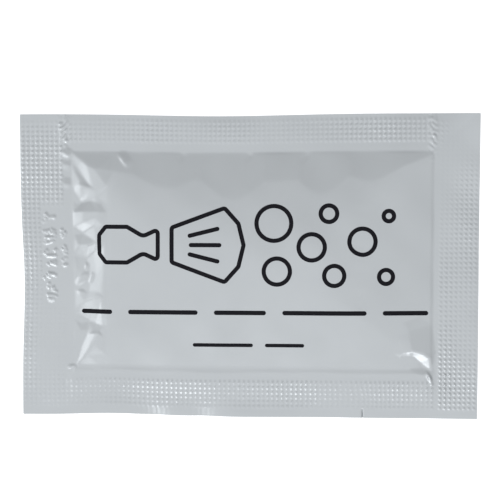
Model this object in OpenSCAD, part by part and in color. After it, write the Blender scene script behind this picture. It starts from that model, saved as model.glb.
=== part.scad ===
// Four-side-seal sachet with a single dose of shaving cream. It lies on its back,
// printed front up. +X runs along the print, +Y up the print, +Z out of the front.

/* [Sachet] */
// Overall width, along the print
sachet_w = 76; // [66:0.5:90]
// Overall height, up the print
sachet_h = 50.4; // [44:0.2:60]

/* [Heat seals] */
// Width of the left seal
seal_left = 8.6; // [6:0.1:11]
// Width of the right seal
seal_right = 7.4; // [6:0.1:11]
// Width of the top seal
seal_top = 6.2; // [5:0.1:9]
// Width of the bottom seal
seal_bottom = 7.2; // [5:0.1:9]

/* [Fill] */
// Height that the front web swells above the seals
front_rise = 2.2; // [1:0.1:4]
// Depth that the back web would swell below the seals with nothing under it
back_rise = 2.0; // [1.2:0.1:4]
// Share of the back web's swell that the table leaves, the rest being pressed flat
back_flat = 0.72; // [0.5:0.01:0.95]

/* [Laminate] */
// Thickness of the outer polyester film
outer_t = 0.014; // [0.01:0.001:0.03]
// Thickness of the aluminium foil
foil_t = 0.010; // [0.006:0.001:0.03]
// Thickness of the polyethylene sealant film
sealant_t = 0.050; // [0.03:0.005:0.1]
// Thickness of the ink
ink_t = 0.008; // [0.004:0.001:0.02]

/* [Tear-off end] */
// Length of the end that tears off, from the tear line to the right edge
end_len = 19.5; // [16:0.1:24]
// Depth of the tear nick in the bottom seal
nick_depth = 1.5; // [0.8:0.1:3]
// Width of the tear nick at the bottom edge
nick_w = 0.3; // [0.1:0.05:0.6]

/* [Print] */
// Stroke of the drawn lines
stroke = 0.7; // [0.4:0.05:1]
// Thickness of the word bars
bar_t = 0.75; // [0.4:0.05:1.2]

/* [Hidden] */

FRONT = 1;
BACK = -1;
film_color = "#b9bfc3";
foil_color = "#d7dadc";
sealant_color = "#e9ecec";
ink_color = "#141416";
cream_color = "#f6f5f0";

// A swell's profile across the pouch is 1 - |u|^fullness, from 1 in the middle to 0 at the seal.
fullness = 3;
// Half the gap between the two sides of the tear line
kerf = 0.01;
// Half the grid's cells along and up the pouch
cells_x = 7;
cells_y = 6;
// The least distance from a grid line to the tear line
grid_gap = 1;

web_t = sealant_t + foil_t + outer_t;
seal_z = web_t + back_rise * back_flat;

left = -sachet_w / 2;
right = sachet_w / 2;
bottom = -sachet_h / 2;
top = sachet_h / 2;
tear_x = right - end_len;

pouch_cx = (left + seal_left + right - seal_right) / 2;
pouch_cy = (bottom + seal_bottom + top - seal_top) / 2;
pouch_rx = (sachet_w - seal_left - seal_right) / 2;
pouch_ry = (sachet_h - seal_bottom - seal_top) / 2;

// Grid lines over the pouch, closer together towards the seals where the swell bends most
pouch_xs = [for (k = [-cells_x:cells_x]) pouch_cx + pouch_rx * sin(90 * k / cells_x)];
pouch_ys = [for (k = [-cells_y:cells_y]) pouch_cy + pouch_ry * sin(90 * k / cells_y)];
body_pouch_xs = concat([for (x = pouch_xs) if (x < tear_x - grid_gap) x], [tear_x - kerf]);
end_pouch_xs = concat([tear_x + kerf], [for (x = pouch_xs) if (x > tear_x + grid_gap) x]);
body_xs = concat([left], body_pouch_xs);
end_xs = concat(end_pouch_xs, [right]);
web_ys = concat([bottom, bottom + nick_depth], pouch_ys, [top]);

function profile(s) = abs(s) < 1 ? 1 - pow(abs(s), fullness) : 0;
function swell(x, y) = profile((x - pouch_cx) / pouch_rx) * profile((y - pouch_cy) / pouch_ry);
function rise(side, x, y) =
  side == FRONT ? front_rise * swell(x, y) : back_rise * min(back_flat, swell(x, y));

// The nick draws each side of the tear line back at the bottom edge.
function nicked(x, y) =
  y > bottom || abs(x - tear_x) > 2 * kerf ? x : tear_x + sign(x - tear_x) * nick_w / 2;

function web_point(side, x, y, depth) =
  [nicked(x, y), y, seal_z + side * (rise(side, x, y) + depth)];

// A face without the corners that it names twice
function tidy(f) = [for (k = [0:len(f) - 1]) if (f[k] != f[(k + 1) % len(f)]) f[k]];

// The two triangles of one grid cell. Their shared edge points at the pouch's nearest corner.
function cell_faces(a, b, c, d, rising) = rising ? [[a, b, c], [a, c, d]] : [[a, b, d], [b, c, d]];

// Closed solid between two surfaces over one grid. low and high index the points of each.
function slab_faces(xs, ys, low, high) =
  let (nx = len(xs) - 1, ny = len(ys) - 1)
  concat(
    [for (i = [0:nx - 1], j = [0:ny - 1])
      let (rising = (xs[i] + xs[i + 1] - 2 * pouch_cx) * (ys[j] + ys[j + 1] - 2 * pouch_cy) > 0)
      each concat(
        cell_faces(high[i][j], high[i][j + 1], high[i + 1][j + 1], high[i + 1][j], rising),
        [for (f = cell_faces(low[i][j], low[i][j + 1], low[i + 1][j + 1], low[i + 1][j], rising))
          [f[2], f[1], f[0]]])],
    [for (i = [0:nx - 1]) tidy([low[i][0], high[i][0], high[i + 1][0], low[i + 1][0]])],
    [for (i = [0:nx - 1]) tidy([low[i + 1][ny], high[i + 1][ny], high[i][ny], low[i][ny]])],
    [for (j = [0:ny - 1]) tidy([low[0][j + 1], high[0][j + 1], high[0][j], low[0][j]])],
    [for (j = [0:ny - 1]) tidy([low[nx][j], high[nx][j], high[nx][j + 1], low[nx][j + 1]])]);

// One layer of a web, from near to far off the plane where the two webs are sealed
module layer(side, xs, near, far) {
  ny = len(web_ys);
  under = side == FRONT ? near : far;
  over = side == FRONT ? far : near;
  points = [for (depth = [under, over], x = xs, y = web_ys) web_point(side, x, y, depth)];
  low = [for (i = [0:len(xs) - 1]) [for (j = [0:ny - 1]) i * ny + j]];
  high = [for (row = low) [for (p = row) p + len(xs) * ny]];
  polyhedron(points, slab_faces(xs, web_ys, low, high));
}

// The dose between the webs. Its two faces meet in one line where the webs are sealed.
module dose(xs) {
  ny = len(pouch_ys);
  points = [for (side = [BACK, FRONT], x = xs, y = pouch_ys) web_point(side, x, y, 0)];
  sealed = [for (x = xs) [for (y = pouch_ys) rise(FRONT, x, y) < 1e-6]];
  low = [for (i = [0:len(xs) - 1]) [for (j = [0:ny - 1]) i * ny + j]];
  high = [for (i = [0:len(xs) - 1])
    [for (j = [0:ny - 1]) low[i][j] + (sealed[i][j] ? 0 : len(xs) * ny)]];
  faces = [for (f = slab_faces(xs, pouch_ys, low, high)) if (len(f) > 2) f];
  polyhedron(points, faces);
}

module outer_film(side, xs) color(film_color) layer(side, xs, sealant_t + foil_t, web_t);
module foil(side, xs) color(foil_color) layer(side, xs, sealant_t, sealant_t + foil_t);
module sealant(side, xs) color(sealant_color) layer(side, xs, 0, sealant_t);

// Ink lies on the front film wherever the drawing covers it.
module ink(xs) {
  color(ink_color)
  intersection() {
    layer(FRONT, xs, web_t, web_t + ink_t);
    linear_extrude(3 * (seal_z + front_rise)) children();
  }
}

// A bar with round ends, centred on the line y
module bar(x0, x1, y, t) {
  translate([x0 + t / 2, y - t / 2]) square([x1 - x0 - t, t]);
  for (x = [x0 + t / 2, x1 - t / 2])
    translate([x, y]) circle(d = t, $fn = 24);
}

// The line round the edge of a closed shape
module outline() {
  difference() {
    children();
    offset(delta = -stroke) children();
  }
}

// Rounds the inner and outer corners of a closed shape
module smooth(r) offset(r = r, $fn = 32) offset(r = -2 * r, $fn = 32) offset(r = r, $fn = 32) children();

// A shaving brush lying along +X, with its bristles towards the lather
module brush(x, y) {
  translate([x, y]) {
    outline() smooth(0.8)
      polygon([[0, 1.7], [1.3, 3.3], [5.2, 3.3], [7.8, 1.8], [10.6, 3.1],
               [10.6, -3.1], [7.8, -1.8], [5.2, -3.3], [1.3, -3.3], [0, -1.7]]);
    outline() smooth(0.8)
      polygon([[12.2, 3.1], [21.4, 6.5], [23.9, 3.7], [24.8, 0],
               [23.9, -3.7], [21.4, -6.5], [12.2, -3.1]]);
    for (tilt = [-1, 0, 1])
      translate([9.4, 0]) rotate(14 * tilt) bar(6, 11.4, 0, stroke);
  }
}

// Each bubble of lather is [x, y, diameter].
bubbles = [[4.4, 7.2, 6.4], [4.9, -0.7, 5.0], [10.6, 3.3, 5.0], [13.4, 8.8, 3.4],
           [14.3, -1.4, 4.0], [18.9, 4.2, 5.0], [22.8, -1.6, 3.0], [23.2, 8.4, 2.4]];
// Each bar stands for a word, as [start, end].
words = [[-27.9, -22.5], [-19.8, -8.2], [-5.5, 3.1], [5.8, 19.6], [22.3, 29.8]];
words_y = -7.6;
dose_words = [[-9.1, 0.9], [2.9, 9.4]];
dose_words_y = -13.1;
// Thickness of a dose bar over a word bar's
dose_bar = 0.8;

module drawing() {
  brush(-25, 3.6);
  for (b = bubbles)
    translate([b[0], b[1]]) outline() circle(d = b[2], $fn = 48);
  for (w = words) bar(w[0], w[1], words_y, bar_t);
  for (w = dose_words) bar(w[0], w[1], dose_words_y, dose_bar * bar_t);
}

outer_film(FRONT, body_xs);  // front_outer_film
foil(FRONT, body_xs);  // front_foil
sealant(FRONT, body_xs);  // front_sealant
ink(body_xs) drawing();  // front_print
outer_film(BACK, body_xs);  // back_outer_film
foil(BACK, body_xs);  // back_foil
sealant(BACK, body_xs);  // back_sealant
color(cream_color) dose(body_pouch_xs);  // cream_dose
outer_film(FRONT, end_xs);  // end_front_outer_film
foil(FRONT, end_xs);  // end_front_foil
sealant(FRONT, end_xs);  // end_front_sealant
ink(end_xs) drawing();  // end_print
outer_film(BACK, end_xs);  // end_back_outer_film
foil(BACK, end_xs);  // end_back_foil
sealant(BACK, end_xs);  // end_back_sealant
color(cream_color) dose(end_pouch_xs);  // end_cream
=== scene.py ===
"""Looks of a four-side-seal sachet of shaving cream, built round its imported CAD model.

Both webs are worked out in millimetres, as heights over one grid of flat film: u runs along the print
and v up it. Each piece is a closed mesh cut from that grid, so the two sides of the tear line meet
exactly at rest. The metres of the frame come in only where a mesh is made.
"""

import math

import bpy
import numpy as np
from mathutils import Matrix, Vector
from mathutils.geometry import delaunay_2d_cdt


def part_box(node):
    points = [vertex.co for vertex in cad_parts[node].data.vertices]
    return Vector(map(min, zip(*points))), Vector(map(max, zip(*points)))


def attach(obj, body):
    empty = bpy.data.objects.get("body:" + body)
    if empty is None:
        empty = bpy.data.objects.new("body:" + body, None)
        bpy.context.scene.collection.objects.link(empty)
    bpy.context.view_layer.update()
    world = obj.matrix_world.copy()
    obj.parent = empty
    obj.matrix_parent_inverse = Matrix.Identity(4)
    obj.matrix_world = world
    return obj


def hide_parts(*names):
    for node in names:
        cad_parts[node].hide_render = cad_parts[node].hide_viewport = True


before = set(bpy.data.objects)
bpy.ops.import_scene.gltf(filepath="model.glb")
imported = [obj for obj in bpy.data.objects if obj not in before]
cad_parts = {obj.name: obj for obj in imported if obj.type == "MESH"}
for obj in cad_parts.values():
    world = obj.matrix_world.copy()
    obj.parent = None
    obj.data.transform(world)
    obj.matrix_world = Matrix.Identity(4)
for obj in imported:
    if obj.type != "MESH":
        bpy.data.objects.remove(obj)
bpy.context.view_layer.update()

MM = 0.001
SEED = 11


def node_box(name):
    """Lowest and highest corner of a CAD node, in millimetres."""
    low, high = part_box(name)
    return np.array(low) / MM, np.array(high) / MM


# ---------------------------------------------------------------- sizes, from the frame
film_low, film_high = node_box("front_outer_film")
end_low, end_high = node_box("end_front_outer_film")
cream_low, cream_high = node_box("cream_dose")
end_cream_high = node_box("end_cream")[1]
LEFT, BOTTOM = film_low[:2]
RIGHT, TOP = end_high[:2]
TEAR = (film_high[0] + end_low[0]) / 2
POUCH_LEFT, POUCH_RIGHT = cream_low[0], end_cream_high[0]
POUCH_BOTTOM, POUCH_TOP = cream_low[1], cream_high[1]
SEAL_Z = node_box("front_sealant")[0][2]
SEALANT_T = node_box("front_foil")[0][2] - SEAL_Z
FOIL_T = film_low[2] - SEAL_Z - SEALANT_T
FILM_T = node_box("back_foil")[0][2] - node_box("back_outer_film")[0][2]
WEB_T = SEALANT_T + FOIL_T + FILM_T

# ---------------------------------------------------------------- the grid of flat film
# Cells along the body, along the torn end and up the sachet. All are even, because the inner layers
# use every second line, and each cell is about a quarter of the emboss pitch.
BODY_CELLS, END_CELLS, UP_CELLS = 282, 98, 252
EMBOSS_CELLS = 4

body_us = np.linspace(LEFT, TEAR, BODY_CELLS + 1)
end_us = np.linspace(TEAR, RIGHT, END_CELLS + 1)
us = np.concatenate([body_us, end_us[1:]])
vs = np.linspace(BOTTOM, TOP, UP_CELLS + 1)
U, V = np.meshgrid(us, vs, indexing="ij")
BODY = slice(0, BODY_CELLS + 1)
END = slice(BODY_CELLS, BODY_CELLS + END_CELLS + 1)


# ---------------------------------------------------------------- shaping functions
def ramp(x, start, stop):
    """0 before start, 1 after stop, smooth between. start may be above stop."""
    t = np.clip((x - start) / (stop - start), 0, 1)
    return t * t * (3 - 2 * t)


def bell(x, centre, width):
    """1 at the centre, falling away smoothly on both sides over about that width."""
    return np.exp(-(((x - centre) / width) ** 2))


def spot(u, v, width, height):
    """A soft oval patch over the grid."""
    return bell(U, u, width) * bell(V, v, height)


def blurred(z, cells):
    """z smoothed over the grid by a bell curve of that many cells."""
    reach = max(1, math.ceil(3 * cells))
    weights = np.exp(-((np.arange(-reach, reach + 1) / cells) ** 2) / 2)
    weights /= weights.sum()
    for axis in (0, 1):
        pads = [(reach, reach) if a == axis else (0, 0) for a in (0, 1)]
        padded = np.pad(z, pads, mode="edge")
        size = z.shape[axis]
        z = sum(weight * np.take(padded, range(k, k + size), axis) for k, weight in enumerate(weights))
    return z


def ripples(seed, shortest, longest, count=14):
    """Smooth random waves of those lengths in millimetres, about 1 high."""
    rng = np.random.default_rng(seed)
    z = np.zeros_like(U)
    for _ in range(count):
        length = math.exp(rng.uniform(math.log(shortest), math.log(longest)))
        angle, phase = rng.uniform(0, math.tau, 2)
        z += np.sin(math.tau * (U * math.cos(angle) + V * math.sin(angle)) / length + phase)
    return z / math.sqrt(count)


def fold(start, stop, height, left, right, ends=(0.3, 0.3)):
    """A straight crest from start to stop, falling away over left and right millimetres on its two
    sides. ends are the shares of its length over which it rises and falls. A height below 0 makes a
    valley."""
    run = np.subtract(stop, start)
    length = math.hypot(*run)
    along = ((U - start[0]) * run[0] + (V - start[1]) * run[1]) / length**2
    side = (run[0] * (V - start[1]) - run[1] * (U - start[0])) / length
    across = np.where(side > 0, 1 - side / left, 1 + side / right)
    rise = np.minimum(along / ends[0], (1 - along) / ends[1])
    return height * np.clip(across, 0, 1) * np.clip(rise, 0, 1)


def blister(centre, length, width, angle, height):
    """A small oval dome, its long axis at that angle in degrees from +u."""
    a = math.radians(angle)
    along = ((U - centre[0]) * math.cos(a) + (V - centre[1]) * math.sin(a)) / (length / 2)
    across = ((V - centre[1]) * math.cos(a) - (U - centre[0]) * math.sin(a)) / (width / 2)
    return height * np.clip(1 - along**2 - across**2, 0, 1) ** 0.6


def facets(lines):
    """Heights over the grid of flat facets spanned between lines of points (u, v, height), 0 outside
    them."""
    points = [p for line in lines for p in line]
    starts = np.cumsum([0] + [len(line) for line in lines])
    edges = [(k, k + 1) for a, b in zip(starts, starts[1:]) for k in range(a, b - 1)]
    spots = [Vector(p[:2]) for p in points]
    verts, _, faces, origin, _, _ = delaunay_2d_cdt(spots, edges, [], 0, 1e-6)
    heights = [points[o[0]][2] if o else 0.0 for o in origin]
    z = np.zeros_like(U)
    for a, b, c in faces:
        (ax, ay), (bx, by), (cx, cy) = verts[a], verts[b], verts[c]
        area = (bx - ax) * (cy - ay) - (cx - ax) * (by - ay)
        if abs(area) < 1e-9:
            continue
        # each corner's weight at every point of the grid
        wb = ((U - ax) * (cy - ay) - (cx - ax) * (V - ay)) / area
        wc = ((bx - ax) * (V - ay) - (U - ax) * (by - ay)) / area
        inside = (wb >= -1e-9) & (wc >= -1e-9) & (wb + wc <= 1 + 1e-9)
        height = heights[a] + wb * (heights[b] - heights[a]) + wc * (heights[c] - heights[a])
        z = np.where(inside, height, z)
    return z


# ---------------------------------------------------------------- the swell of the two webs
FRONT_RISE = 2.2
BACK_RISE = 2.0
# Slopes, as rise over run, at which the front web leaves each seal
SLOPE_LEFT, SLOPE_RIGHT, SLOPE_TOP, SLOPE_BOTTOM = 0.24, 0.11, 0.24, 0.16
# Slope at which the back web leaves every seal
SLOPE_BACK = 0.26
# Height of the small step at the right seal
RIGHT_STEP = 0.12
# Share of the rise that the dome over the plateau adds to the rest, on the front and on the back
DOME, BACK_DOME = 0.75, 0.7
# How sharply two slopes meet: softly, on average and crisply
SOFT, MEDIUM, CRISP = 9, 30, 45

# The scallops along the top seal, as (u, half width, strength), and how much steeper than SLOPE_TOP
# the slope is between them and gentler in them
TOP_SCALLOPS = ((-14.0, 5.0, 0.7), (-2.4, 5.2, 1.0), (12.4, 4.0, 0.9), (21.4, 4.2, 0.8))
SCALLOP_STEEPEST, SCALLOP_CUT = 1.16, 0.26

# The crumpled slope beside the left seal, as crest and valley lines of (u, v, height over the swell)
LEFT_CRUMPLE = [
    # the seal's edge, which holds it on the left
    [
        (POUCH_LEFT, v, 0.0)
        for v in (19, 16, 13.0, 10.4, 8.9, 6.6, 5.2, 3.4, 1.6, -1.0, -3.8, -7.2, -9, -11.4, -14, -18)
    ],
    # the crease where the plateau starts, which holds it on the right
    [
        (-22.4, 18.4, 0.0), (-22.4, 15.4, 0.0), (-23.2, 13.2, 0.0), (-23.2, 10.2, -0.04),
        (-23.4, 8.9, 0.0), (-23.4, 6.6, -0.04), (-23.5, 3.9, 0.0), (-23.6, 1.2, -0.03),
        (-23.7, -1.6, 0.0), (-23.7, -5.2, 0.03), (-23.5, -9.9, -0.04), (-23.8, -12.2, 0.0),
        (-23.8, -15, 0.0), (-24.2, -18, 0.0),
    ],
    # crest from the top corner, the short groove under it and the lip of the groove
    [(-29.2, 18.9, 0.0), (-27.4, 17.6, 0.08), (-25.2, 15.8, 0.20), (-23.5, 13.4, 0.19)],
    [(-29.3, 17.8, 0.0), (-28.5, 16.5, -0.14), (-27.5, 14.9, -0.18), (-26.5, 13.6, -0.12)],
    [(-29.3, 16.8, 0.0), (-28.9, 15.8, 0.03), (-28.0, 14.3, 0.09)],
    # the lobe: crest, valley
    [(-29.1, 13.2, 0.03), (-27.7, 13.4, 0.20), (-25.3, 12.7, -0.02)],
    [
        (-29.2, 10.4, -0.04), (-27.9, 10.5, -0.44), (-26.3, 10.9, -0.42), (-25.1, 11.4, -0.30),
        (-24.3, 10.3, -0.14),
    ],
    # flat-topped crest, valley
    [(-29.2, 8.9, 0.02), (-27.4, 9.0, 0.20), (-24.8, 9.0, 0.14)],
    [(-29.2, 6.6, 0.0), (-27.4, 7.4, 0.20), (-25.4, 8.1, 0.16)],
    [(-29.2, 5.1, -0.06), (-27.6, 5.4, -0.40), (-25.6, 6.6, -0.22)],
    # the scallop: crest, valley
    [(-29.2, 3.5, 0.0), (-28.2, 3.3, 0.06), (-26.6, 3.4, 0.14), (-25.2, 4.0, 0.08)],
    [
        (-29.2, 2.0, -0.02), (-28.4, 1.6, -0.26), (-27.0, 1.2, -0.40), (-25.8, 2.2, -0.34),
        (-24.8, 2.6, -0.20),
    ],
    # the long flat foot, and the pale facet to its right
    [(-29.2, -1.0, -0.02), (-28.6, -1.0, -0.07), (-26.4, -1.3, -0.24), (-25.2, -1.5, -0.14)],
    [(-29.2, -3.8, -0.02), (-28.6, -3.8, -0.08), (-26.6, -4.1, -0.22), (-25.2, -4.2, -0.10)],
    # the broad light facet: its crest, which turns down on the left, and the valley at its foot
    [
        (-29.1, -8.1, -0.02), (-28.4, -7.4, -0.05), (-27.3, -5.9, 0.08), (-25.6, -5.4, 0.10),
        (-24.3, -5.2, 0.09),
    ],
    [
        (-29.2, -9.0, -0.03), (-28.3, -8.9, -0.34), (-26.8, -9.2, -0.60), (-25.4, -9.5, -0.54),
        (-24.3, -9.9, -0.18),
    ],
    # the leaf, with a blunt top between a groove on its left and a crest on its right
    [
        (-29.2, -10.8, -0.01), (-28.2, -10.8, -0.13), (-27.0, -10.8, -0.30), (-25.9, -10.9, -0.22),
        (-24.8, -10.9, 0.02),
    ],
    [
        (-29.2, -11.6, 0.0), (-28.2, -11.5, -0.10), (-27.0, -11.4, -0.26), (-25.9, -11.4, -0.02),
        (-24.8, -11.4, 0.22),
    ],
    [(-27.0, -11.4, -0.26), (-28.0, -13.8, -0.22), (-28.7, -16.1, -0.07)],
    [(-24.8, -11.4, 0.22), (-25.6, -13.2, 0.18), (-26.9, -15.0, 0.10), (-28.4, -16.4, 0.01)],
]

# Small domes as (centre, length, width, angle, height): the lobe's round body, then the blisters in
# the long foot
BLISTERS = (
    ((-27.8, 12.2), 3.6, 2.4, 60, 0.10),
    ((-27.8, -2.2), 3.0, 1.5, 40, 0.17),
    ((-28.0, -4.4), 1.5, 0.9, -12, 0.12),
    ((-27.0, -0.1), 0.6, 1.3, 0, 0.13),
    ((-26.2, -2.0), 2.0, 0.9, 70, 0.12),
)

# The white fold in the bottom right corner, as lines like those of the crumple
CORNER_PUCKER = [
    # the edge of the slope above it, and the ridge down that slope
    [
        (23.8, -14.0, 0.0), (24.7, -11.8, 0.0), (25.8, -9.2, 0.0), (28.4, -8.2, 0.0),
        (30.4, -9.6, 0.0), (31.3, -14.0, 0.0),
    ],
    [(26.6, -10.6, 0.13), (26.8, -12.2, 0.27)],
    # its curved crest and its foot
    [
        (25.2, -14.5, 0.10), (26.2, -14.0, 0.26), (27.2, -13.9, 0.44), (29.0, -14.4, 0.46),
        (30.1, -15.1, 0.38), (30.5, -17.3, 0.10),
    ],
    [
        (25.1, -15.0, 0.0), (26.4, -14.7, -0.02), (27.4, -14.8, -0.06), (28.4, -15.7, -0.24),
        (29.5, -16.9, -0.26), (30.0, -17.7, -0.04),
    ],
    # the edge of the slope below it
    [(24.2, -15.8, 0.0), (26.8, -17.0, 0.0), (28.6, -17.9, 0.0), (30.8, -18.4, 0.0)],
]
# The tip of that fold, as (start, stop, height, left, right, ends)
PUCKER_TIP = ((29.4, -17.0), (30.9, -19.6), 0.22, 0.6, 0.6, (0.3, 0.3))

# Short creases that hang from the top seal, as (u, height, how far they lean to the left, drop)
HANGING_CREASES = ((-10.2, -0.10, 1.0, 1.8), (0.9, -0.10, 1.3, 1.7), (10.4, -0.09, 1.6, 2.0))
# One short bright fold near the top left, as (start, stop, height, left, right, ends)
TOP_LEFT_FOLD = ((-21.6, 18.8), (-19.8, 16.4), 0.27, 1.4, 0.4, (0.3, 0.3))

# Creases that run in from the seals of the back web, as (u, v, run in u, run in v, height)
BACK_CREASES = (
    # from its left and right seals
    (-29, 8, 6, -1.4, 0.20), (-29, 1, 5, 1.0, -0.22), (-29, -6, 6.5, 1.2, 0.22),
    (-29, -12, 4.5, 0.6, -0.18),
    (30, 10, -6, -1.6, 0.22), (30, 2, -5, 0.5, -0.18), (30, -7, -6, 1.8, 0.22),
    # from its top and bottom seals
    (-18, 18.7, 1.6, -5, 0.2), (-6, 18.7, -1.0, -4.6, -0.16), (7, 18.7, 1.2, -5.2, 0.18),
    (19, 18.7, -1.6, -4.5, -0.16),
    (-20, -17.7, -1.5, 5, 0.18), (-8, -17.7, 0.8, 4.5, -0.16), (5, -17.7, -1.0, 5.2, 0.2),
    (17, -17.7, 1.4, 4.6, -0.16),
)

# Two places where the bottom margin bends down
FIRST_BEND_U, SECOND_BEND_U = -15.3, -7.3
BEND_DEPTH = 0.60
# How far the bottom seal stands over the foot of the front web
LEDGE = 0.25

in_pouch = (
    ramp(U, POUCH_LEFT - 0.1, POUCH_LEFT + 0.4)
    * ramp(U, POUCH_RIGHT + 0.1, POUCH_RIGHT - 0.4)
    * ramp(V, POUCH_BOTTOM - 0.1, POUCH_BOTTOM + 0.4)
    * ramp(V, POUCH_TOP + 0.1, POUCH_TOP - 0.4)
)


def least(heights, sharpness=MEDIUM):
    """The least of several height fields, rounded where two of them meet."""
    total = sum(np.exp(-sharpness * z) for z in heights)
    return -np.log(total) / sharpness + math.log(2) / (2 * sharpness)


def dome(power_u, power_v):
    """1 in the middle of the pouch and 0 along its limits."""
    x = np.clip(np.abs(2 * U - POUCH_LEFT - POUCH_RIGHT) / (POUCH_RIGHT - POUCH_LEFT), 0, 1)
    y = np.clip(np.abs(2 * V - POUCH_BOTTOM - POUCH_TOP) / (POUCH_TOP - POUCH_BOTTOM), 0, 1)
    return (1 - x**power_u) * (1 - y**power_v)


def top_slope():
    """The slope from the top seal, which is steeper between the scallops than in them."""
    scallops = np.zeros_like(U)
    for u, half_width, strength in TOP_SCALLOPS:
        scallops += strength * np.clip(1 - ((U - u) / half_width) ** 2, 0, 1)
    return SLOPE_TOP * (SCALLOP_STEEPEST - SCALLOP_CUT * scallops)


def front_creases():
    """Every crease and facet of the front web, over its smooth swell."""
    creases = facets(LEFT_CRUMPLE)
    for dome_shape in BLISTERS:
        creases += blister(*dome_shape)
    creases += facets(CORNER_PUCKER)
    creases += fold(*PUCKER_TIP)
    for u, height, lean, drop in HANGING_CREASES:
        creases += fold((u, POUCH_TOP), (u - lean, POUCH_TOP - drop), height, 0.5, 0.9, (0.3, 0.6))
    creases += fold(*TOP_LEFT_FOLD)
    return blurred(creases, 0.65)


def front_height():
    """Height of the front web over the plane of the seals."""
    crown = FRONT_RISE * (1 - DOME + DOME * dome(3, 2))
    left = SLOPE_LEFT * (U - POUCH_LEFT)
    right = SLOPE_RIGHT * (POUCH_RIGHT - U) + RIGHT_STEP * ramp(U, POUCH_RIGHT, POUCH_RIGHT - 0.5)
    soft = least([crown, right, SLOPE_BOTTOM * (V - POUCH_BOTTOM)], SOFT)
    z = least([soft, right, left, top_slope() * (POUCH_TOP - V)], CRISP)
    z += front_creases()
    z += 0.03 * ripples(SEED, 7, 22) * in_pouch
    return np.maximum(z, 0)


def back_height():
    """Depth of the back web under the plane of the seals."""
    crown = BACK_RISE * (0.3 + BACK_DOME * dome(3, 2.2))
    from_seals = (U - POUCH_LEFT, POUCH_RIGHT - U, V - POUCH_BOTTOM, POUCH_TOP - V)
    z = least([crown, *(SLOPE_BACK * distance for distance in from_seals)])
    creases = np.zeros_like(z)
    for u, v, run_u, run_v, height in BACK_CREASES:
        creases += fold((u, v), (u + run_u, v + run_v), height, 1.8, 2.2, (0.25, 0.6))
    z += blurred(creases, 0.9)
    z += 0.05 * ripples(SEED + 1, 6, 20) * in_pouch
    return np.maximum(z, 0) * in_pouch


def ledge():
    """The step up from the foot of the front web to the bottom seal, which falls again to the margin."""
    over_pouch = ramp(U, POUCH_LEFT - 1.5, POUCH_LEFT + 0.5) * ramp(U, POUCH_RIGHT + 1.0, POUCH_RIGHT - 1.5)
    step_up = LEDGE * ramp(V, POUCH_BOTTOM + 1.3, POUCH_BOTTOM - 0.1)
    return step_up * ramp(V, POUCH_BOTTOM - 5, POUCH_BOTTOM - 1) * over_pouch


def seal_wave():
    """Height of the plane of the seals. It is flat at the pouch and waves a little at the cut edges."""
    out_u = np.maximum(POUCH_LEFT - U, U - POUCH_RIGHT) / 8
    out_v = np.maximum(POUCH_BOTTOM - V, V - POUCH_TOP) / 7
    out = ramp(np.maximum(out_u, out_v), 0, 1)
    z = out * (0.16 * ripples(SEED + 2, 16, 40) + 0.05 * ripples(SEED + 3, 5, 12))
    z += ledge()
    # the nick's two sides are pressed down into a steep little groove
    up_the_nick = np.clip((NICK_DEPTH - (V - BOTTOM)) / NICK_DEPTH, 0, 1)
    z -= NICK_DIP * (np.abs(U - TEAR) < 0.01) * up_the_nick**0.4
    bent = bell(U, FIRST_BEND_U, 3.2) + bell(U, SECOND_BEND_U, 2.6)
    z -= BEND_DEPTH * bent * ramp(V, BOTTOM + 2.8, BOTTOM - 1.0)
    return z


# ---------------------------------------------------------------- the embossed seals
def bumps(peaks, slant):
    """One small mound on each peak, steep below and falling gently above, where it leans along the slant,
    1 or -1."""
    z = peaks.copy()
    # each neighbour, as cells along u and v from the peak and its share of the peak's height
    for i, j, share in (
        (1, 0, 0.40), (-1, 0, 0.18),
        (0, 1, 0.66), (slant, 1, 0.52), (-slant, 1, 0.08),
        (0, 2, 0.30), (slant, 2, 0.30), (0, -1, 0.10),
    ):
        z = np.maximum(z, share * np.roll(peaks, (i, j), (0, 1)))
    return z


def lattice(first_i, last_i, first_j, last_j):
    """1 on each grid line crossing of the emboss, from the first to the last cell both ways."""
    marks = np.zeros_like(U)
    marks[first_i : last_i + 1 : EMBOSS_CELLS, first_j : last_j + 1 : EMBOSS_CELLS] = 1
    return marks


# How deep the sealing jaws bit: a base, the least anywhere and patches of (u, v, width, height, more)
EMBOSS_BASE, EMBOSS_LEAST = 0.018, 0.006
EMBOSS_PATCHES = (
    # left seal
    (-34.5, 16.4, 7.5, 8.0, 0.132),
    (-37.4, 2.0, 1.2, 12.0, 0.061),
    (-36.2, 0.0, 1.4, 6.0, 0.061),
    (-37.0, -15.0, 1.4, 8.0, 0.055),
    (-34.5, 25.0, 8.0, 2.0, -0.080),
    # top seal
    (-15.5, 22.4, 5.0, 3.0, 0.067),
    (-3.0, 22.4, 4.0, 3.0, 0.055),
    (22.0, 22.4, 8.0, 3.0, 0.128),
    # right seal
    (36.4, 6.5, 2.2, 9.0, 0.107),
    (32.6, -2.0, 1.6, 5.0, 0.067),
    (32.6, -17.0, 2.0, 6.5, 0.183),
    (36.4, -20.0, 2.8, 4.8, 0.134),
    (35.0, 19.5, 6.0, 7.0, -0.030),
    # bottom seal
    (-14.0, -20.6, 12.0, 4.0, 0.081),
    (6.0, -20.6, 9.0, 4.0, 0.085),
    (25.0, -20.9, 8.0, 3.6, 0.098),
    (-33.0, -20.6, 6.0, 4.0, 0.037),
)


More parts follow.
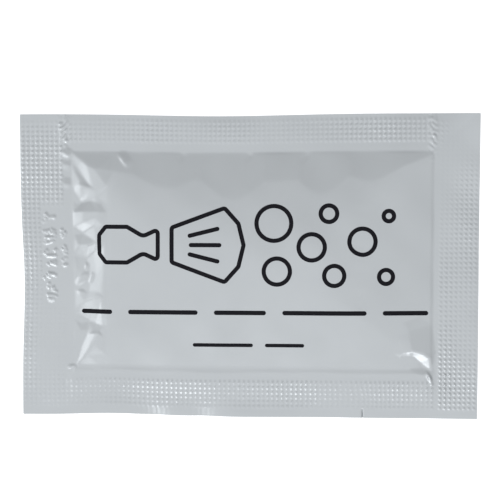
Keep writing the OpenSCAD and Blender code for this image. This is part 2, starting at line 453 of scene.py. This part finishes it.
def emboss_depth():
    """How deep the jaws bit at each point of the grid."""
    depth = EMBOSS_BASE * (1 + 0.3 * ripples(SEED + 4, 9, 25))
    for u, v, width, height, more in EMBOSS_PATCHES:
        depth = depth + more * spot(u, v, width, height)
    uneven = np.random.default_rng(SEED + 5).uniform(0.82, 1.18, U.shape)
    return np.clip(depth, EMBOSS_LEAST, None) * uneven


def emboss():
    """The knurled grid that the sealing jaws leave, stronger where they pressed harder."""
    last_i, last_j = BODY_CELLS + END_CELLS, UP_CELLS
    # the first and last cells of each seal's grid; the right and top ones are counted from the far edge
    left = lattice(2, 34, 8, last_j - 8)
    right = np.flip(lattice(3, 31, 8, last_j - 8), 0)
    top = np.flip(lattice(38, last_i - 36, 6, 22), 1)
    bottom = lattice(38, last_i - 36, 8, 28)
    # a plain field round the lot mark
    field = ramp(np.abs(U + 32.4), 2.4, 2.7) + ramp(np.abs(V - 1.4), 8.4, 8.8)
    left = left * np.clip(field, 0, 1)
    depth = emboss_depth()
    return np.maximum(bumps((left + top + bottom) * depth, 1), bumps(right * depth, -1))


# Columns of the lot mark, as (u, width, the v of each row of strokes)
LOT_COLUMNS = ((-33.4, 2.0, np.arange(-5.4, 9.2, 1.9)), (-30.9, 0.9, (0.6, 2.6, 5.6)))
STROKES_PER_ROW = 7
SHORTEST_STROKE = 0.4


def lot_mark():
    """A generic embossed mark on the left seal: two columns of random strokes that spell nothing."""
    z = np.zeros_like(U)
    rng = np.random.default_rng(SEED + 6)
    for column, width, rows in LOT_COLUMNS:
        for row in rows:
            for _ in range(STROKES_PER_ROW):
                start = np.array([column, row]) + rng.uniform(-0.5, 0.5, 2) * (width, 1.2)
                stop = start + rng.uniform(-1, 1, 2) * (width, 0.6)
                stop[0] = np.clip(stop[0], column - width * 0.6, column + width * 0.6)
                if math.dist(start, stop) > SHORTEST_STROKE:
                    height = rng.uniform(0.09, 0.16)
                    z = np.maximum(z, fold(start, stop, height, 0.36, 0.36, (0.1, 0.1)))
    return z


def margin_streaks():
    """Upright streaks where the bottom margin bends down."""
    bent = bell(U, FIRST_BEND_U, 3.0) + bell(U, SECOND_BEND_U, 2.4)
    wave = np.sin(math.tau * U / 0.83) + 0.6 * np.sin(math.tau * U / 0.53 + 0.4 * V)
    return 0.024 * (1.6 + wave) * bent * ramp(V, BOTTOM + 2.0, BOTTOM + 1.4)


# Wrinkles beside the pouch's top left corner, as (v, drop, height, width of the steep side)
SEAL_WRINKLES = ((19.2, -1.2, 0.19, 0.8), (17.0, -0.5, 0.14, 0.9), (13.7, -0.3, 0.12, 0.7))
WRINKLE_START, WRINKLE_STOP = -31.3, -29.3
# Tips of the two bottom corner folds that run out over the seal, as (start, stop, height, left, right,
# ends)
CORNER_TIPS = (
    ((29.7, -17.4), (30.6, -19.8), 0.20, 0.35, 0.35, (0.3, 0.5)),
    ((-30.6, -17.3), (-28.8, -16.9), 0.12, 0.5, 0.4, (0.4, 0.3)),
)


def crossings():
    """Crumpled film where the left and right seals run across the top one, the wrinkles beside them and
    the tips of the corner folds."""
    crumple = np.abs(ripples(SEED + 7, 0.9, 2.0, 24))
    z = 0.15 * crumple * (spot(-30.7, 22.6, 0.8, 2.4) + 0.8 * spot(30.3, 22.4, 0.6, 3.2))
    for v, drop, height, steep in SEAL_WRINKLES:
        z += fold((WRINKLE_START, v), (WRINKLE_STOP, v + drop), height, 1.2, steep, (0.35, 0.35))
    for tip in CORNER_TIPS:
        z += fold(*tip)
    return z


# ---------------------------------------------------------------- the outline and the tear
# Depth of the nick, and the gap between its two sides at the edge
NICK_DEPTH, NICK_W = 1.5, 0.02
# How far the film is pressed down at the nick, and how far from it the next grid line is drawn in
NICK_DIP, NICK_DRAW = 0.30, 0.08
# How far the filled pouch draws in the left, top and bottom edges
DRAWN_LEFT, DRAWN_TOP, DRAWN_BOTTOM = 0.5, 0.42, 0.38
# How far the lower end of the tear lies to the right
TEAR_SHIFT = 0.6


def plan():
    """Where each point of the flat film lies in plan: the filled pouch draws the edges in a little,
    the tear wanders, and its lower end, with the nick, lies a little to the right."""
    x = U + DRAWN_LEFT * bell(V, -3.3, 10) * ramp(U, -22, LEFT)
    drawn_top = DRAWN_TOP * bell(U, -4.4, 16) * ramp(V, 8, TOP)
    drawn_bottom = DRAWN_BOTTOM * bell(U, -23, 7) * ramp(V, -8, BOTTOM)
    wander = 0.10 * np.sin(V / 1.9 + 0.6) + 0.06 * np.sin(V / 0.73) + 0.03 * np.sin(V / 0.31)
    x = x + wander * bell(U, TEAR, 1.2) * ramp(V, BOTTOM, BOTTOM + 2 * NICK_DEPTH)
    x = x + TEAR_SHIFT * bell(U, TEAR, 4) * bell(V, BOTTOM, 6)
    return x, V - drawn_top + drawn_bottom


def opened(points, side):
    """points with the tear nick opened on that side of the tear line: -1 is the body's, 1 the end's."""
    out = points.copy()
    open_share = np.clip(1 - (vs - BOTTOM) / NICK_DEPTH, 0, 1) ** 0.5
    for k, shift in ((0, NICK_W / 2), (1, -NICK_DRAW), (2, -NICK_DRAW / 2)):
        i = -1 - k if side < 0 else k
        out[i, :, 0] += side * shift * open_share
    return out


# ---------------------------------------------------------------- all surfaces, as arrays of points
def least_near(z):
    """The least of each point and its eight neighbours, so that a coarser surface stays inside z."""
    for axis in (0, 1):
        pads = [(1, 1) if a == axis else (0, 0) for a in (0, 1)]
        padded = np.pad(z, pads, mode="edge")
        z = np.minimum.reduce([np.take(padded, range(k, k + z.shape[axis]), axis) for k in (0, 1, 2)])
    return z


PLAN_X, PLAN_Y = plan()
FRONT_H, BACK_H, WAVE = front_height(), back_height(), seal_wave()
RELIEF = emboss() + lot_mark() + crossings() + margin_streaks()
FRONT, BACK = 1, -1
# How much steeper the film's shading takes the relief to be than its mesh, whose mounds are only a few
# cells wide
SHARPER = 1.7


def surface(side, depth, relief=0):
    """Points of a layer's surface at that depth off the plane of the seals, on the front or the back
    web, with that much of the relief. The back web lies flat on the floor where it reaches it."""
    swelled = FRONT_H if side == FRONT else BACK_H
    if relief:
        swelled = swelled + relief * RELIEF
    else:
        swelled = least_near(swelled)
    z = SEAL_Z + WAVE + side * (swelled + depth)
    if side == BACK:
        rest = WEB_T - depth
        z = rest + np.maximum(z - rest, 0)
    return np.stack([PLAN_X, PLAN_Y, z], -1)


def normals_of(points):
    """Unit normals of a grid of points, upwards."""
    along, up = np.gradient(points, axis=0), np.gradient(points, axis=1)
    n = np.cross(along, up)
    return n / np.linalg.norm(n, axis=-1, keepdims=True)


# ---------------------------------------------------------------- meshes
def new_piece(name, points, faces, material, body, replaces=(), smooth_normals=None):
    """A mesh in metres that rides on a body. smooth_normals is (how many faces, from the first, are smooth;
    a normal for each point), and the smooth faces are shaded with those normals."""
    mesh = bpy.data.meshes.new(name)
    mesh.from_pydata((np.asarray(points) * MM).tolist(), [], faces)
    mesh.materials.append(material)
    if smooth_normals is not None:
        smooth_faces, normals = smooth_normals
        smooth = np.zeros(len(mesh.polygons), bool)
        smooth[:smooth_faces] = True
        mesh.polygons.foreach_set("use_smooth", smooth)
        corner_points = np.zeros(len(mesh.loops), int)
        mesh.loops.foreach_get("vertex_index", corner_points)
        corners = np.zeros(len(mesh.polygons), int)
        mesh.polygons.foreach_get("loop_total", corners)
        smooth_corners = int(corners[:smooth_faces].sum())
        split = np.zeros((len(mesh.loops), 3))
        split[:smooth_corners] = normals[corner_points[:smooth_corners]]
        mesh.normals_split_custom_set(split.tolist())
    mesh.update()
    piece = bpy.data.objects.new(name, mesh)
    bpy.context.scene.collection.objects.link(piece)
    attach(piece, body)
    if replaces:
        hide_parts(*replaces)
    return piece


def grid_faces(rows, columns, first, upwards):
    """Quads over a grid of points numbered row by row from first."""
    i, j = np.meshgrid(np.arange(rows - 1), np.arange(columns - 1), indexing="ij")
    a = (first + i * columns + j).ravel()
    quads = np.stack([a, a + columns, a + columns + 1, a + 1], 1)
    return (quads if upwards else quads[:, ::-1]).tolist()


def rim(rows, columns, first):
    """Point numbers round the edge of a grid, anticlockwise from above, starting at its first point."""
    number = first + np.arange(rows * columns).reshape(rows, columns)
    return np.concatenate([number[:-1, 0], number[-1, :-1], number[:0:-1, -1], number[0, :0:-1]]).tolist()


def slab(outer, inner, upwards, shading):
    """Points, faces and smooth normals of a closed solid between two grids of points. The inner grid may
    be coarser, by a whole number of cells. upwards is true where the outer grid is the upper one, and
    shading holds the outer grid's normals, upwards."""
    points = np.concatenate([outer.reshape(-1, 3), inner.reshape(-1, 3)])
    first = outer.shape[0] * outer.shape[1]
    faces = grid_faces(*outer.shape[:2], 0, upwards)
    faces += grid_faces(*inner.shape[:2], first, not upwards)
    smooth = len(faces)
    fine, coarse = rim(*outer.shape[:2], 0), rim(*inner.shape[:2], first)
    step = len(fine) // len(coarse)
    for k in range(len(coarse)):
        over = [fine[(k * step + s) % len(fine)] for s in range(step + 1)]
        wall = [coarse[k], coarse[(k + 1) % len(coarse)], *over[::-1]]
        faces.append(wall if upwards else wall[::-1])
    way = 1 if upwards else -1
    normals = np.concatenate([way * shading.reshape(-1, 3), -way * normals_of(inner).reshape(-1, 3)])
    return points, faces, (smooth, normals)


# ---------------------------------------------------------------- materials
def new_material(name):
    """A material, its nodes and links, its shader, and a socket with the place on the object."""
    material = bpy.data.materials.new(name)
    material.use_nodes = True
    nodes, links = material.node_tree.nodes, material.node_tree.links
    shader = next(n for n in nodes if n.type == "BSDF_PRINCIPLED")
    place = nodes.new("ShaderNodeTexCoord").outputs["Object"]
    return material, nodes, links, shader, place


def noise(nodes, links, place, scale, detail=4, stretch=(1, 1, 1)):
    """A noise of that scale over the object, drawn out along an axis where its stretch is small."""
    mapping = nodes.new("ShaderNodeMapping")
    mapping.inputs["Scale"].default_value = stretch
    links.new(place, mapping.inputs["Vector"])
    texture = nodes.new("ShaderNodeTexNoise")
    texture.inputs["Scale"].default_value = scale
    texture.inputs["Detail"].default_value = detail
    links.new(mapping.outputs["Vector"], texture.inputs["Vector"])
    return texture.outputs["Fac"]


def spread(nodes, links, value, low, high):
    """Maps a noise's middle range onto low to high."""
    node = nodes.new("ShaderNodeMapRange")
    node.inputs["From Min"].default_value = 0.3
    node.inputs["From Max"].default_value = 0.7
    node.inputs["To Min"].default_value = low
    node.inputs["To Max"].default_value = high
    links.new(value, node.inputs["Value"])
    return node.outputs["Result"]


def tint(nodes, links, value, dark, light):
    """A colour from dark to light as the value goes from 0 to 1."""
    node = nodes.new("ShaderNodeMix")
    node.data_type = "RGBA"
    node.inputs["A"].default_value = (*dark, 1)
    node.inputs["B"].default_value = (*light, 1)
    links.new(value, node.inputs["Factor"])
    return node.outputs["Result"]


def bump(nodes, links, height, distance, strength):
    """A normal that follows the height."""
    node = nodes.new("ShaderNodeBump")
    node.inputs["Strength"].default_value = strength
    node.inputs["Distance"].default_value = distance
    links.new(height, node.inputs["Height"])
    return node.outputs["Normal"]


def film_material():
    """Satin silver-grey metallised film under a clear glossy layer."""
    material, nodes, links, shader, place = new_material("satin_film")
    cloud = noise(nodes, links, place, 160)
    grain = noise(nodes, links, place, 5200, 2)
    grey = tint(nodes, links, cloud, (0.452, 0.480, 0.502), (0.489, 0.518, 0.541))
    links.new(grey, shader.inputs["Base Color"])
    links.new(spread(nodes, links, cloud, 0.28, 0.33), shader.inputs["Roughness"])
    links.new(bump(nodes, links, grain, 0.000002, 0.1), shader.inputs["Normal"])
    shader.inputs["Metallic"].default_value = 0.8
    shader.inputs["Coat Weight"].default_value = 0.5
    shader.inputs["Coat Roughness"].default_value = 0.12
    return material


def foil_material():
    """Bright foil with fine rolling lines along the web."""
    material, nodes, links, shader, place = new_material("rolled_foil")
    lines = noise(nodes, links, place, 3000, 3, (0.04, 1, 1))
    silver = tint(nodes, links, lines, (0.76, 0.77, 0.78), (0.88, 0.88, 0.89))
    links.new(silver, shader.inputs["Base Color"])
    links.new(spread(nodes, links, lines, 0.18, 0.34), shader.inputs["Roughness"])
    shader.inputs["Metallic"].default_value = 1
    return material


def sealant_material():
    """Milky polyethylene."""
    material, nodes, links, shader, place = new_material("milky_sealant")
    cloud = noise(nodes, links, place, 700)
    milk = tint(nodes, links, cloud, (0.72, 0.74, 0.75), (0.82, 0.83, 0.84))
    links.new(milk, shader.inputs["Base Color"])
    links.new(spread(nodes, links, cloud, 0.35, 0.5), shader.inputs["Roughness"])
    shader.inputs["Metallic"].default_value = 0.25
    return material


def ink_material():
    """Black ink under the film's gloss."""
    material, nodes, links, shader, place = new_material("black_ink")
    grain = noise(nodes, links, place, 4200, 3)
    black = tint(nodes, links, grain, (0.004, 0.004, 0.006), (0.010, 0.010, 0.014))
    links.new(black, shader.inputs["Base Color"])
    links.new(spread(nodes, links, grain, 0.42, 0.55), shader.inputs["Roughness"])
    shader.inputs["Specular IOR Level"].default_value = 0.06
    shader.inputs["Coat Weight"].default_value = 0.04
    shader.inputs["Coat Roughness"].default_value = 0.12
    return material


def cream_material():
    """Soft white cream with a wet sheen."""
    material, nodes, links, shader, place = new_material("shaving_cream")
    swirl = noise(nodes, links, place, 420, 5)
    white = tint(nodes, links, swirl, (0.66, 0.65, 0.62), (0.75, 0.745, 0.73))
    links.new(white, shader.inputs["Base Color"])
    links.new(spread(nodes, links, swirl, 0.22, 0.36), shader.inputs["Roughness"])
    links.new(bump(nodes, links, swirl, 0.0002, 0.3), shader.inputs["Normal"])
    shader.inputs["Subsurface Weight"].default_value = 0.3
    shader.inputs["Subsurface Radius"].default_value = (0.0012, 0.0010, 0.0008)
    return material


FILM, FOIL, SEALANT = film_material(), foil_material(), sealant_material()
INK, CREAM = ink_material(), cream_material()


# ---------------------------------------------------------------- the webs
def part_of(points, where, side, step=1):
    """The body's or the end's share of a surface, with the nick open, at every step-th line."""
    return opened(points[where], side)[::step, ::step]


def web_layers():
    """(name, material, slot, depth of its inner face, depth of its outer face) from the inside out."""
    return (
        ("sealant", SEALANT, "sealant", 0, SEALANT_T),
        ("foil", FOIL, "foil", SEALANT_T, SEALANT_T + FOIL_T),
        ("film", FILM, "outer_film", SEALANT_T + FOIL_T, WEB_T),
    )


def make_layer(side, face, name, material, slot, near, far):
    """One layer of one web, as a piece on the body and a piece on the end."""
    outermost = name == "film"
    outer, inner = surface(side, far, outermost), surface(side, near)
    shading = normals_of(surface(side, far, SHARPER) if outermost else outer)
    node = f"{face}_outer_film" if outermost else f"{face}_{name}"
    step = 1 if outermost else 2
    in_nick = vs[::step] < BOTTOM + NICK_DEPTH
    for body, where, way, prefix in (("pouch", BODY, -1, ""), ("tear_end", END, 1, "end_")):
        outer_part = part_of(outer, where, way, step)
        inner_part = part_of(inner, where, way, 2)
        shaded = shading[where][::step, ::step].copy()
        shaded[:, in_nick] = normals_of(outer_part)[:, in_nick]
        points, faces, smooth = slab(outer_part, inner_part, side == FRONT, shaded)
        new_piece(f"{body}_{face}_{name}", points, faces, material, body, [prefix + node], smooth)


def make_webs():
    """Every layer of both webs."""
    for side, face in ((FRONT, "front"), (BACK, "back")):
        for layer in web_layers():
            make_layer(side, face, *layer)


# ---------------------------------------------------------------- the print
# Heights of the ink's top and bottom over the film, and how far its inner points stay from its outline
INK_OVER, INK_UNDER = 0.016, -0.01
INK_INSET = 0.05
# Longest edge of the ink's outline, and how near the tear line its points count as on it
INK_EDGE = 0.2
ON_TEAR = 0.015


def print_outline(node):
    """Edges in plan round the ink of a CAD node, as pairs of points in millimetres."""
    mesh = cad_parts[node].data
    mesh.calc_loop_triangles()
    spots = np.round(np.array([v.co for v in mesh.vertices]) / MM, 4)
    spots[np.abs(spots[:, 0] - TEAR) < ON_TEAR, 0] = TEAR
    used = {}
    for triangle in mesh.loop_triangles:
        if triangle.normal.z < 0.5:
            continue
        corners = [tuple(spots[k][:2]) for k in triangle.vertices]
        for a, b in zip(corners, corners[1:] + corners[:1]):
            edge = tuple(sorted((a, b)))
            used[edge] = used.get(edge, 0) + 1
    edges = []
    for (a, b), times in used.items():
        # an edge of one upper triangle only is on the outline
        if times != 1:
            continue
        cuts = max(1, math.ceil(math.dist(a, b) / INK_EDGE))
        line = [tuple(np.round(np.add(a, np.subtract(b, a) * k / cuts), 5)) for k in range(cuts + 1)]
        edges += list(zip(line, line[1:]))
    return edges


def inside(points, edges):
    """True for each point that lies within the closed loops of the edges."""
    points = np.asarray(points, float)
    count = np.zeros(len(points), int)
    for (ax, ay), (bx, by) in edges:
        crosses = (ay > points[:, 1]) != (by > points[:, 1])
        with np.errstate(divide="ignore", invalid="ignore"):
            at = ax + (points[:, 1] - ay) * (bx - ax) / (by - ay)
        count += crosses & (points[:, 0] < at)
    return count % 2 == 1


def clear_of(points, edges, gap):
    """True for each point at least gap from every edge."""
    points = np.asarray(points, float)
    keep = np.ones(len(points), bool)
    for a, b in edges:
        run = np.subtract(b, a)
        t = np.clip(((points - a) @ run) / max(run @ run, 1e-12), 0, 1)
        keep &= np.linalg.norm(points - (np.array(a) + t[:, None] * run), axis=1) > gap
    return keep


def at(grid, spots):
    """The grid's values at points of the flat film, by linear interpolation both ways."""
    i = np.clip(np.searchsorted(us, spots[:, 0]) - 1, 0, len(us) - 2)
    j = np.clip(np.searchsorted(vs, spots[:, 1]) - 1, 0, len(vs) - 2)
    s = ((spots[:, 0] - us[i]) / (us[i + 1] - us[i]))[:, None]
    t = ((spots[:, 1] - vs[j]) / (vs[j + 1] - vs[j]))[:, None]
    low = grid[i, j] * (1 - s) + grid[i + 1, j] * s
    high = grid[i, j + 1] * (1 - s) + grid[i + 1, j + 1] * s
    return low * (1 - t) + high * t


def make_print(name, node, body):
    """The ink of a CAD node, draped over the front web as a thin closed solid."""
    skin = surface(FRONT, WEB_T, 1)
    edges = print_outline(node)
    flat = np.stack([U.ravel(), V.ravel()], 1)
    low, high = node_box(node)
    flat = flat[np.all((flat > low[:2]) & (flat < high[:2]), axis=1)]
    flat = flat[inside(flat, edges)]
    flat = flat[clear_of(flat, edges, INK_INSET)]
    rim_points = sorted({p for e in edges for p in e})
    number = {p: k for k, p in enumerate(rim_points)}
    spots = [Vector(p) for p in rim_points] + [Vector(p) for p in flat]
    constraints = [(number[a], number[b]) for a, b in edges]
    verts, _, triangles, _, _, _ = delaunay_2d_cdt(spots, constraints, [], 0, 1e-5)
    verts = np.array([tuple(p) for p in verts])
    triangles = np.array(triangles)
    triangles = triangles[inside(verts[triangles].mean(1), edges)]
    kept, triangles = np.unique(triangles, return_inverse=True)
    triangles, verts = triangles.reshape(-1, 3), verts[kept]
    base, normals = at(skin, verts), at(normals_of(skin), verts)
    points = np.concatenate([base + [0, 0, INK_OVER], base + [0, 0, INK_UNDER]])
    faces = triangles.tolist() + (triangles[:, ::-1] + len(verts)).tolist()
    sides = {}
    for a, b, c in triangles.tolist():
        for edge in ((a, b), (b, c), (c, a)):
            sides[edge] = sides.get(edge, 0) + 1
    faces += [[a, a + len(verts), b + len(verts), b] for a, b in sides if (b, a) not in sides]
    smooth = (len(triangles), np.concatenate([normals, -normals]))
    new_piece(name, points, faces, INK, body, [node], smooth)


# ---------------------------------------------------------------- the cream
# Rows of faces down the torn face, and the cream's clearance under each web
MOUTH_ROWS = 8
CREAM_GAP = 0.03
# Distance between slices of the cream, points along each slice, and half its least thickness
SLICE = 0.6
SLICE_POINTS = 64
THINNEST = 0.01
# How far the cream stays from the pouch's limits, and from the tear line
FROM_SEAL, FROM_TEAR = 0.5, 0.4


def cream_sides(start, stop):
    """The cream's upper and lower surface from u = start to stop, as grids of points, and the v of each
    column."""
    across = np.linspace(start, stop, int(abs(stop - start) / SLICE) + 2)
    up = np.linspace(POUCH_BOTTOM + FROM_SEAL, POUCH_TOP - FROM_SEAL, SLICE_POINTS)
    spots = np.stack(np.meshgrid(across, up, indexing="ij"), -1).reshape(-1, 2)
    over, under = at(surface(FRONT, 0), spots), at(surface(BACK, 0), spots)
    over[:, 2] -= CREAM_GAP
    under[:, 2] += CREAM_GAP
    thin = over[:, 2] < under[:, 2] + 2 * THINNEST
    middle = (over[:, 2] + under[:, 2]) / 2
    over[thin, 2], under[thin, 2] = middle[thin] + THINNEST, middle[thin] - THINNEST
    shape = (len(across), len(up), 3)
    return over.reshape(shape), under.reshape(shape), up


def torn_face(over, under, up, way):
    """Rows of points down the torn face, from the top edge to the bottom one. It bulges towards way,
    and it is lumpy."""
    rng = np.random.default_rng(SEED + 8)
    rows = np.linspace(0, 1, MOUTH_ROWS + 1)[1:-1]
    slant = rows[:, None]
    lumps = 0.12 * np.sin(up[None] / 1.7 + 4 * slant) + 0.1 * np.sin(up[None] / 0.6 - 3 * slant)
    lumps = lumps + rng.uniform(-0.03, 0.03, lumps.shape)
    face = over + (under - over) * rows[:, None, None]
    thick = np.clip((over[0, :, 2] - under[0, :, 2]) / 1.5, 0, 1)
    face[..., 0] += way * (lumps * np.sin(math.pi * rows)[:, None] + 0.15) * thick
    return face


def make_cream(name, node, body, start, stop, mouth):
    """The dose between the webs from u = start to stop, with its torn face at the end named by mouth."""
    over, under, up = cream_sides(start, stop)
    if mouth == "right":
        over, under = over[::-1], under[::-1]
    way = 1 if mouth == "right" else -1
    # the loop round each column: over the top, down the torn face and back underneath
    loop = np.concatenate([over[::-1], torn_face(over[:1], under[:1], up, way), under])
    rows, columns = loop.shape[:2]
    faces = grid_faces(rows, columns, 0, way > 0)
    number = np.arange(rows * columns).reshape(rows, columns)
    for column, turn in ((0, way > 0), (columns - 1, way < 0)):
        cap = number[:, column].tolist()
        faces.append(cap if turn else cap[::-1])
    back = [[number[0, j], number[0, j + 1], number[-1, j + 1], number[-1, j]] for j in range(columns - 1)]
    faces += [f[::-1] if way < 0 else f for f in back]
    piece = new_piece(name, loop.reshape(-1, 3), faces, CREAM, body, [node])
    piece.data.shade_smooth()


# ---------------------------------------------------------------- studio
# Half the width of the floor, and how far it lies under the part, in metres
FLOOR_HALF = 3.0
FLOOR_DROP = 0.00002


def make_floor():
    """A white floor that glows a little, so that it comes out white all over."""
    material, nodes, links, shader, place = new_material("white_sweep")
    cloud = noise(nodes, links, place, 9)
    white = tint(nodes, links, cloud, (0.93, 0.93, 0.93), (0.95, 0.95, 0.95))
    links.new(white, shader.inputs["Base Color"])
    shader.inputs["Roughness"].default_value = 0.9
    shader.inputs["Specular IOR Level"].default_value = 0.1
    shader.inputs["Emission Color"].default_value = (1, 1, 1, 1)
    shader.inputs["Emission Strength"].default_value = 0.55
    mesh = bpy.data.meshes.new("floor")
    corners = [(x * FLOOR_HALF, y * FLOOR_HALF, 0) for x, y in ((-1, -1), (1, -1), (1, 1), (-1, 1))]
    mesh.from_pydata(corners, [], [(0, 1, 2, 3)])
    mesh.materials.append(material)
    floor = bpy.data.objects.new("floor", mesh)
    bpy.context.scene.collection.objects.link(floor)
    floor.location.z = -FLOOR_DROP


# Brightness of the tent against the share of a direction that points at its bright side
TENT_LEVELS = (
    (-0.9, 0.63), (-0.45, 0.83), (-0.12, 0.90), (0.14, 1.15), (0.40, 1.03), (0.72, 1.12), (1.0, 1.27),
)
# Share of that brightness left at the horizon, and the height of a direction at which it is whole
HORIZON_SHARE, HORIZON_TOP = 0.5, 0.5


def make_world():
    """A white tent, brighter towards -Y and a little towards -X."""
    world = bpy.data.worlds.new("tent")
    bpy.context.scene.world = world
    world.use_nodes = True
    nodes, links = world.node_tree.nodes, world.node_tree.links
    place = nodes.new("ShaderNodeTexCoord").outputs["Generated"]
    toward = nodes.new("ShaderNodeVectorMath")
    toward.operation = "DOT_PRODUCT"
    toward.inputs[1].default_value = (-0.34, -0.93, 0.0)
    links.new(place, toward.inputs[0])
    level = nodes.new("ShaderNodeFloatCurve")
    low, high = TENT_LEVELS[0][0], TENT_LEVELS[-1][0]
    place_on_curve = nodes.new("ShaderNodeMapRange")
    place_on_curve.inputs["From Min"].default_value = low
    place_on_curve.inputs["From Max"].default_value = high
    links.new(toward.outputs["Value"], place_on_curve.inputs["Value"])
    links.new(place_on_curve.outputs["Result"], level.inputs["Value"])
    curve = level.mapping.curves[0]
    level.mapping.use_clip = False
    for k, (share, brightness) in enumerate(TENT_LEVELS):
        x = (share - low) / (high - low)
        if k in (0, len(TENT_LEVELS) - 1):
            curve.points[0 if k == 0 else -1].location = (x, brightness)
        else:
            curve.points.new(x, brightness)
    level.mapping.update()
    height = nodes.new("ShaderNodeSeparateXYZ")
    links.new(place, height.inputs["Vector"])
    dimming = nodes.new("ShaderNodeMapRange")
    dimming.inputs["From Max"].default_value = HORIZON_TOP
    dimming.inputs["To Min"].default_value = HORIZON_SHARE
    links.new(height.outputs["Z"], dimming.inputs["Value"])
    strength = nodes.new("ShaderNodeMath")
    strength.operation = "MULTIPLY"
    links.new(level.outputs["Value"], strength.inputs[0])
    links.new(dimming.outputs["Result"], strength.inputs[1])
    background = nodes["Background"]
    background.inputs["Color"].default_value = (1, 1, 1, 1)
    links.new(strength.outputs["Value"], background.inputs["Strength"])


def make_light(name, direction, distance, size, size_y, power):
    """A rectangular softbox in that direction from the part, facing it."""
    light = bpy.data.lights.new(name, "AREA")
    light.shape = "RECTANGLE"
    light.size, light.size_y, light.energy = size, size_y, power
    lamp = bpy.data.objects.new(name, light)
    bpy.context.scene.collection.objects.link(lamp)
    lamp.location = Vector(direction).normalized() * distance
    lamp.rotation_euler = (-lamp.location).to_track_quat("-Z", "Y").to_euler()


def make_camera():
    """Nearly overhead, a little up the print and to its right."""
    distance, frame_width = 0.210, 0.08334
    tilt_x, tilt_y, roll = math.radians(3.52), math.radians(-3.24), math.radians(-0.21)
    aim = Vector((0.0002, 0.00268, 0))
    turn = Matrix.Rotation(roll, 3, "Z") @ Matrix.Rotation(tilt_y, 3, "Y") @ Matrix.Rotation(tilt_x, 3, "X")
    camera_data = bpy.data.cameras.new("camera")
    camera_data.sensor_width = 36
    camera_data.lens = camera_data.sensor_width * distance / frame_width
    camera_data.clip_start, camera_data.clip_end = 0.01, 20
    camera = bpy.data.objects.new("camera", camera_data)
    bpy.context.scene.collection.objects.link(camera)
    back = turn.transposed()
    camera.matrix_world = Matrix.Translation(aim + back @ Vector((0, 0, distance))) @ back.to_4x4()
    bpy.context.scene.camera = camera


make_webs()
make_print("pouch_print", "front_print", "pouch")
make_print("tear_end_print", "end_print", "tear_end")
make_cream("pouch_cream", "cream_dose", "pouch", POUCH_LEFT + FROM_SEAL, TEAR - FROM_TEAR, "right")
make_cream("tear_end_cream", "end_cream", "tear_end", TEAR + FROM_TEAR, POUCH_RIGHT - FROM_SEAL, "left")
make_floor()
make_world()
make_light("key_softbox", (-0.28, -0.78, 0.56), distance=0.7, size=0.54, size_y=0.32, power=0.90)
make_light("side_softbox", (-0.86, -0.12, 0.42), distance=0.7, size=0.42, size_y=0.36, power=0.42)
make_camera()
bpy.context.scene.view_settings.view_transform = "Standard"
